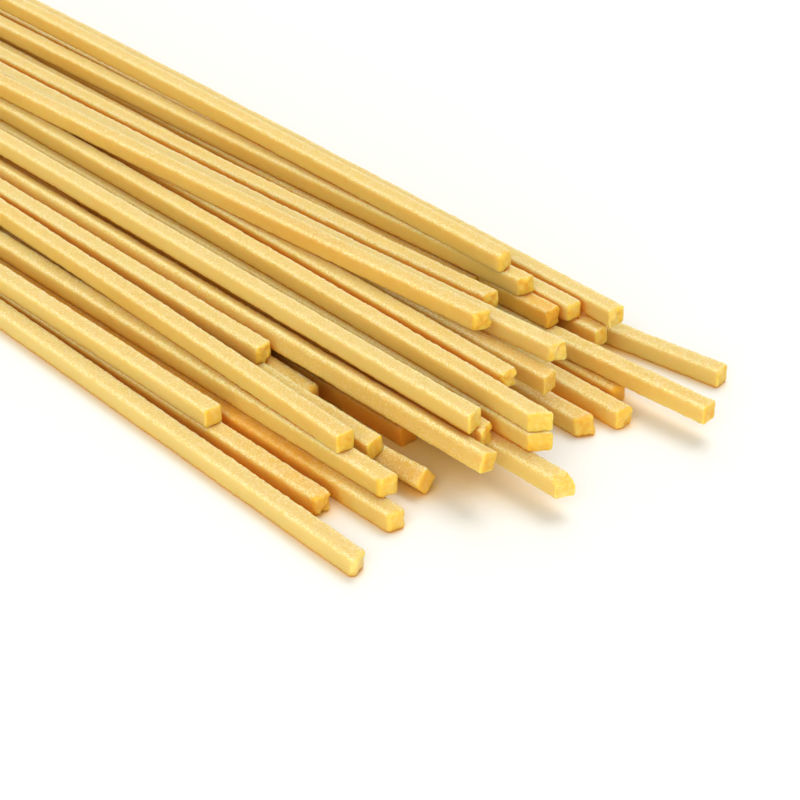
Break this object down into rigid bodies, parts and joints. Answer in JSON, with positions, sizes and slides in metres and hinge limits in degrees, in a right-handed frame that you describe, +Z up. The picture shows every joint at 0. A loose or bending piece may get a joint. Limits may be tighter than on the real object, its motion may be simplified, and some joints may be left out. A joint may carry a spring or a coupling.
{
  "type": "bundle of dry spaghetti",
  "caption": "Loose bundle of long dry spaghetti strands, square in section, lying on its side with staggered tips that fan out a little.",
  "frame": {"origin": "middle of the bundle's footprint, on the surface it lies on", "axes": "+X along the strands towards the near, fanned tips; +Y across the bundle; +Z up"},
  "size_m": [0.2874, 0.0516, 0.0103],
  "materials": {
    "dry_pasta": "dry semolina pasta, pale golden yellow, matt and floury on the outside, deeper yellow at the broken ends"
  },
  "bodies": {
    "root": {"spaghetti_bundle": "dry_pasta"}
  },
  "joints": []
}
